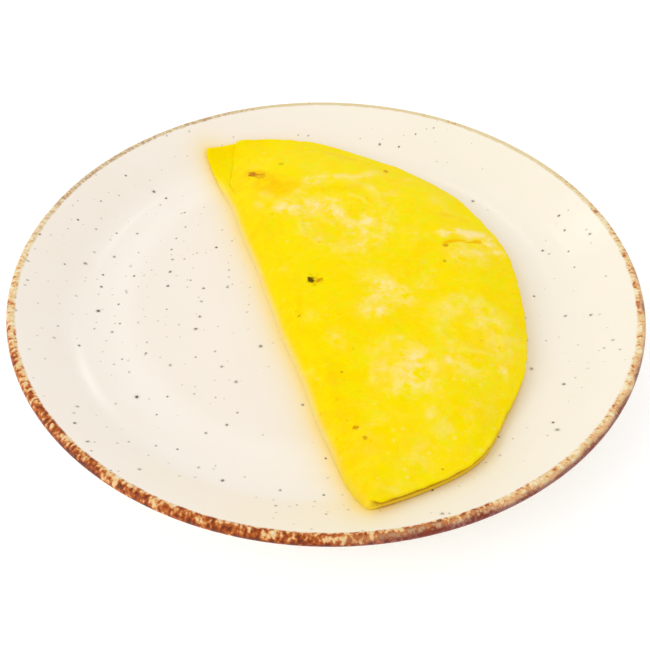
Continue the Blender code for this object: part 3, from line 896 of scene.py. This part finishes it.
eggFinish = {
    "yellow": tint(248, 222, 0),
    "deep": tint(250, 217, 0),
    "green": tint(241, 224, 6),
    # the egg's own paler colour, and partly painted sheen
    "paleAndSheen": tint(252, 227, 148),
    "orange": tint(248, 195, 3),
    "brown": tint(182, 96, 12),
    "fleck": tint(60, 32, 4),
    # painted light on the fold's shaded underside, pale to meet the glow painted on the glaze
    "edge": tint(244, 218, 150),
    "crust": tint(236, 192, 60),  # the lower flap's end and the underside, cooked against the pan
    "dotCell": 3.0,  # one small pale dot or pit to a cell of this size
    # s, h, radius, colour and share of it
    "spots": (
        (84.5, 17.8, 2.4, "brown", 0.85), (80.5, 21.0, 2.2, "brown", 0.35),
        (82.5, 19.5, 2.0, "brown", 0.4), (0.0, 20.8, 3.2, "brown", 0.3),
        (85.5, 33.0, 1.2, "fleck", 0.3), (66.5, 82.0, 1.5, "brown", 0.6),
        (0.5, 20.0, 1.6, "fleck", 0.9), (-1.5, 23.5, 1.5, "brown", 0.6),
        (-18.0, 9.0, 0.8, "fleck", 0.6), (-51.5, 15.0, 0.9, "fleck", 0.4),
        (-77.0, 10.8, 1.2, "brown", 0.6), (-82.0, 12.5, 0.9, "brown", 0.5),
        (-8.0, 78.5, 0.9, "fleck", 0.35), (1.5, 83.5, 1.4, "brown", 0.6),
        (-93.5, 60.1, 0.8, "fleck", 0.6), (-102.6, 32.5, 0.6, "fleck", 0.4),
    ),
}


def spotted(skin, color, place, fine, curd):
    # The brown and dark spots, each ragged by the two finest noises
    for s, h, size, paint, share in eggFinish["spots"]:
        spotX, spotY = onPlate(s, h)
        off = skin.node("VectorMath", {"operation": "SUBTRACT"}, {0: place, 1: (spotX, spotY, 0.0)})
        off = skin.node("VectorMath", {"operation": "MULTIPLY"}, {0: off, 1: (1.0, 1.0, 0.0)})
        distance = skin.node("VectorMath", {"operation": "LENGTH"}, {0: off}, "Value")
        ragged = distance + (fine - 0.5) * 2.0 * size + (curd - 0.5) * 2.5 * size
        color = skin.mix((1 - ragged.step(size * 0.5, size * 1.2)) * share, color, eggFinish[paint])
    return color


def cookedEgg():
    skin = Skin("cooked_egg", {
        "Specular IOR Level": 0.03,
        "Specular Tint": (1.0, 0.85, 0.08, 1.0),
        "Subsurface Weight": 0.2,
        "Subsurface Radius": (1.0, 0.6, 0.1),
        "Subsurface Scale": 0.003,
    })
    place = skin.places()
    vein = skin.stored("vein")
    amber = skin.stored("amber")
    slow = skin.noise(place, 24.0, 2.0, 0.5, 0.6)
    mottle = skin.noise(place, 8.0, 3.0, 0.55, 1.0)
    curd = skin.noise(place, 5.0, 2.0, 0.5, 0.6)
    fine = skin.noise(place, 1.7, 2.0, 0.5)
    deeper = (slow * 0.6 + mottle * 0.4).step(0.42, 0.58)
    color = skin.mix(deeper, eggFinish["yellow"], eggFinish["deep"])
    green = skin.noise(place, 9.0, 3.0, 0.6, 1.4) + vein * 0.08
    color = skin.mix(green.step(0.5, 0.66) * 0.8, color, eggFinish["green"])

    # pale, partly painted sheen: the raised lines, fine wrinkles where a noise passes its middle,
    # broken blotches, small dots
    line = skin.stored("line") + (fine - 0.5) * 2.2
    ring = (1 - line.step(0.2, 1.5)) * mottle.step(0.42, 0.56)
    wrinkle = skin.noise(place, 9.0, 2.0, 0.5, 2.2) - 0.5
    wrinkle = (1 - wrinkle.math("ABSOLUTE", wrinkle).step(0.0, 0.04)) * vein
    cloud = skin.noise(place, 6.5, 3.0, 0.55, 0.4)
    broken = (0.9 + (curd - 0.5) * 5.5 + (fine - 0.5) * 2.0).most(0.0)
    paleAndSheenHere = skin.stored("paleAndSheen") * broken + cloud.step(0.5, 0.75) * vein * 0.08
    paleAndSheenHere = paleAndSheenHere.most(ring * 0.2).most(wrinkle * 0.12 * curd.step(0.42, 0.6))
    dotInputs = {"Vector": place, "Scale": 1.0 / eggFinish["dotCell"]}
    dots = skin.node("TexVoronoi", {"feature": "F1"}, dotInputs)
    pick, pickLow, _ = skin.split(Field(skin, dots.socket.node.outputs["Color"]))
    dotOff = dots * eggFinish["dotCell"] + (fine - 0.5) * 1.6
    stipple = (1 - dotOff.step(0.2, 1.1)) * (skin.stored("stipple") * 0.6 - pick).step(-0.02, 0.02)
    color = skin.mix(paleAndSheenHere.most(stipple * 0.3), color, eggFinish["paleAndSheen"])

    amberHere = amber + (curd - 0.5) * 1.4 * amber.step(0.46, 0.8) + (mottle - 0.5) * 0.5
    color = skin.mix(amberHere.step(0.2, 1.1), color, eggFinish["orange"])
    pit = (1 - dotOff.step(0.1, 0.9)) * (pickLow + (slow - 0.5) * 1.2).step(0.95, 0.98)
    color = skin.mix(pit * 0.15, color, eggFinish["brown"])
    # painted light: the fold's shaded underside made pale
    color = skin.mix(skin.stored("edge") * 0.85, color, eggFinish["edge"])
    color = spotted(skin, color, place, fine, curd)
    color = skin.mix(skin.stored("crust") * (0.5 + curd * 0.6), color, eggFinish["crust"])
    skin.feed("Base Color", color)
    skin.feed("Roughness", 0.36 + (mottle - 0.5) * 0.3)
    height = mottle * 1.0 + curd * 0.5 + fine * 0.3
    height = height + ring * 0.15 + wrinkle * 0.1 + stipple * 0.15 - pit * 0.3
    bump = skin.node("Bump", {}, {"Strength": 0.5, "Distance": 0.0008, "Height": height})
    skin.feed("Normal", bump)
    return skin.material


def eggBounceGlowShare(rings, toEgg):
    # Painted yellow glow on the glaze, standing for light bounced and reflected off the egg: falls off
    # with the distance from the egg, most along the fold
    lean = math.radians(egg["lean"])
    foldX, foldY = egg["foldMiddle"]
    h = (rings[..., 0] - foldX) * math.cos(lean) + (rings[..., 1] - foldY) * math.sin(lean)
    return (0.2 + 0.66 * smoothStep(-h, -20, 0)) * np.exp(-toEgg / 4.5)


rings, across = plateSurface()
rim = np.stack(onPlate(*outline(900).T), axis=1)
toEgg = np.array([
    np.hypot(row[:, :1] - rim[:, 0], row[:, 1:2] - rim[:, 1]).min(axis=1)
    for row in rings
])
plateFields = {
    "across": across,
    # where the painted yellow glow of light bounced off the egg lies
    "eggBounceGlow": eggBounceGlowShare(rings, toEgg) * (across < plate["eggBounceGlowInside"]),
}
platePiece = closedSurface(
    "stoneware_plate", rings, (0, 0, plate["wellHeight"]), (0, 0, plate["recess"]),
    speckledGlaze(), plateFields
)
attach(platePiece, "root")
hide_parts("plate")

rings, placeS, placeH, lower, foldEdgeLight, under = omeletteSurface()
onTop = 1 - lower
towardsNear = smoothStep(-placeS, -20, 50)
eggFields = {
    "paleAndSheen": palenessAndSheen(placeS, placeH) * onTop,
    "edge": foldEdgeLight,
    "vein": veining(placeS, placeH) * onTop,
    "line": nearestLine(placeS, placeH) + 9 * lower,
    "amber": amberness(placeS, placeH) * onTop,
    "stipple": stippling(placeS, placeH) * onTop,
    "crust": np.maximum(lower * towardsNear, under),
}
eggPiece = closedSurface(
    "folded_omelette", rings, rings[0].mean(axis=0), rings[-1].mean(axis=0), cookedEgg(), eggFields
)
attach(eggPiece, "root")
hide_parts("omelette")
print("pieces made")


studio = {
    "floorSize": 6000.0,
    "floorHeight": -0.2,
    "floorColor": tint(250, 250, 250),
    "floorShade": tint(247, 247, 247),
    "floorGlow": 0.15,
    "world": 0.95,
    "target": (-0.38, -39.03),  # on the rim's plane
    "distance": 285.91,
    "elevation": 46.244,
    "roll": 0.931,
    "lens": 40.98,
    # azimuth from +Y towards +X, elevation, distance, width, height, watts, colour
    "lamps": (
        ("key", -112, 28, 1.6, 1.0, 1.0, 5.6, (1.0, 0.985, 0.96)),
        ("window", 5, 51, 1.6, 0.09, 0.09, 0.12, (1.0, 1.0, 1.0)),
        ("lowWindow", 6, 28, 1.6, 0.05, 0.25, 0.26, (1.0, 1.0, 1.0)),
        ("sideWindow", -36, 46, 1.6, 0.09, 0.06, 0.16, (1.0, 1.0, 1.0)),
        ("lowSide", -31, 28, 1.6, 0.05, 0.12, 0.14, (1.0, 1.0, 1.0)),
    ),
}


def makeFloor():
    side = np.linspace(-0.5, 0.5, 5) * studio["floorSize"] / 1000
    x, y = np.meshgrid(side, side)
    points = np.stack([x.ravel(), y.ravel(), np.full(x.size, studio["floorHeight"] / 1000)], axis=1)
    here = np.arange(x.size).reshape(x.shape)
    faces = np.stack([here[:-1, :-1], here[:-1, 1:], here[1:, 1:], here[1:, :-1]], axis=2)
    mesh = bpy.data.meshes.new("floor")
    mesh.from_pydata(points.tolist(), [], faces.reshape(-1, 4).tolist())
    skin = Skin("floor_paint", {
        "Roughness": 0.8,
        "Specular IOR Level": 0.2,
        "Emission Color": (1, 1, 1, 1),
        "Emission Strength": studio["floorGlow"],
    })
    cloudy = skin.noise(skin.places(), 300.0).step(0.3, 0.7) * 0.3
    skin.feed("Base Color", skin.mix(cloudy, studio["floorColor"], studio["floorShade"]))
    mesh.materials.append(skin.material)
    floor = placed("floor", mesh)


def direction(azimuth, elevation):
    a, e = math.radians(azimuth), math.radians(elevation)
    return Vector((math.sin(a) * math.cos(e), math.cos(a) * math.cos(e), math.sin(e)))


def makeLamps():
    for name, azimuth, elevation, distance, width, height, watts, color in studio["lamps"]:
        data = bpy.data.lights.new(name, "AREA")
        data.shape = "RECTANGLE"
        data.size = width
        data.size_y = height
        data.energy = watts
        data.color = color
        lamp = placed(name, data)
        away = direction(azimuth, elevation)
        lamp.location = away * distance
        lamp.rotation_euler = away.to_track_quat("Z", "Y").to_euler()


def makeWorld():
    world = bpy.data.worlds.new("studio")
    world.use_nodes = True
    background = world.node_tree.nodes["Background"]
    background.inputs["Color"].default_value = (1, 1, 1, 1)
    background.inputs["Strength"].default_value = studio["world"]
    bpy.context.scene.world = world


def makeCamera():
    e, roll = math.radians(studio["elevation"]), math.radians(studio["roll"])
    back = Vector((0, -math.cos(e), math.sin(e)))
    right = Vector((1, 0, 0))
    up = back.cross(right)
    turnedRight = math.cos(roll) * right + math.sin(roll) * up
    turnedUp = math.cos(roll) * up - math.sin(roll) * right
    target = Vector((studio["target"][0] / 1000, studio["target"][1] / 1000, plateHigh.z))
    data = bpy.data.cameras.new("camera")
    data.lens = studio["lens"]
    data.sensor_width = 36
    data.clip_start = 0.01
    camera = placed("camera", data)
    axes = Matrix((turnedRight, turnedUp, back)).transposed().to_4x4()
    camera.matrix_world = Matrix.Translation(target + back * studio["distance"] / 1000) @ axes
    bpy.context.scene.camera = camera


makeFloor()
makeLamps()
makeWorld()
makeCamera()
bpy.context.scene.view_settings.view_transform = "Standard"
print("floor, light and camera made")
